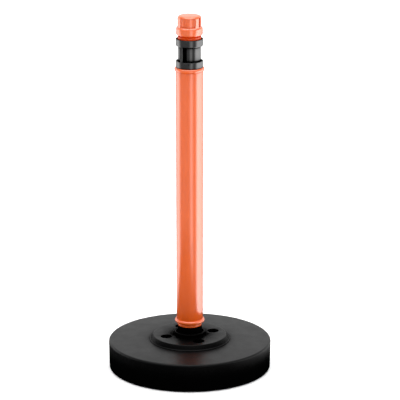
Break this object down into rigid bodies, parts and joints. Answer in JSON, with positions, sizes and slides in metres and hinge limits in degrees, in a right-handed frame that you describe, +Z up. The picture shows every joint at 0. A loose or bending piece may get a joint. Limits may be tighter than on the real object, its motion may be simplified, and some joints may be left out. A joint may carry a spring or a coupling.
{
  "type": "plastic chain stanchion",
  "caption": "Free-standing barrier post with a weighted round base and a twist-cap head that holds the end links of a plastic chain.",
  "frame": {"origin": "on the floor under the centre of the round base", "axes": "+Z up the post, -Y towards the front, where the locking marks on the cap and the lower flange are"},
  "size_m": [0.4, 0.4, 0.8862],
  "materials": {
    "orange_plastic": "smooth moulded polyethylene with a soft gloss",
    "base_plastic": "fine-grained satin moulding",
    "head_plastic": "smooth moulded black with a satin gloss",
    "nylon": "natural nylon",
    "concrete": "rough cast concrete",
    "foot_rubber": "dull",
    "zinc_steel": "zinc plated"
  },
  "bodies": {
    "base": {"base_shell": "base_plastic", "hub_plate": "base_plastic", "base_pan": "base_plastic", "ballast": "concrete", "rubber_feet": "foot_rubber", "base_bolts": "zinc_steel", "base_washers": "zinc_steel", "base_nuts": "zinc_steel", "post_socket": "base_plastic", "socket_collar": "base_plastic"},
    "post": {"post_tube": "orange_plastic", "spigot_cap": "head_plastic", "head_base": "head_plastic", "spindle": "nylon", "spindle_nut": "nylon", "stop_washer": "zinc_steel", "stop_screw": "zinc_steel"},
    "carrier": {"keyed_washer": "zinc_steel"},
    "spool": {"chain_spool": "head_plastic", "swivel_bush": "nylon", "neck_retainer": "head_plastic", "retainer_screws": "zinc_steel"},
    "cap": {"cap_shell": "orange_plastic", "cap_hub": "orange_plastic"}
  },
  "joints": [
    {"name": "post_lift", "type": "slide", "parent": "base", "child": "post", "axis": [0, 0, 1], "range_m": [0, 0.09]},
    {"name": "head_rise", "type": "slide", "parent": "post", "child": "carrier", "axis": [0, 0, 1], "range_m": [0, 0.012]},
    {"name": "spool_swivel", "type": "hinge", "parent": "carrier", "child": "spool", "pos_m": [0, 0, 0.7929], "axis": [0, 0, 1], "continuous": true},
    {"name": "cap_twist", "type": "hinge", "parent": "carrier", "child": "cap", "pos_m": [0, 0, 0.85], "axis": [0, 0, 1], "range_deg": [0, 360]}
  ],
  "couplings": [
    {"joint": "head_rise", "follows": "cap_twist", "m_per_rad": 0.0019099}
  ]
}
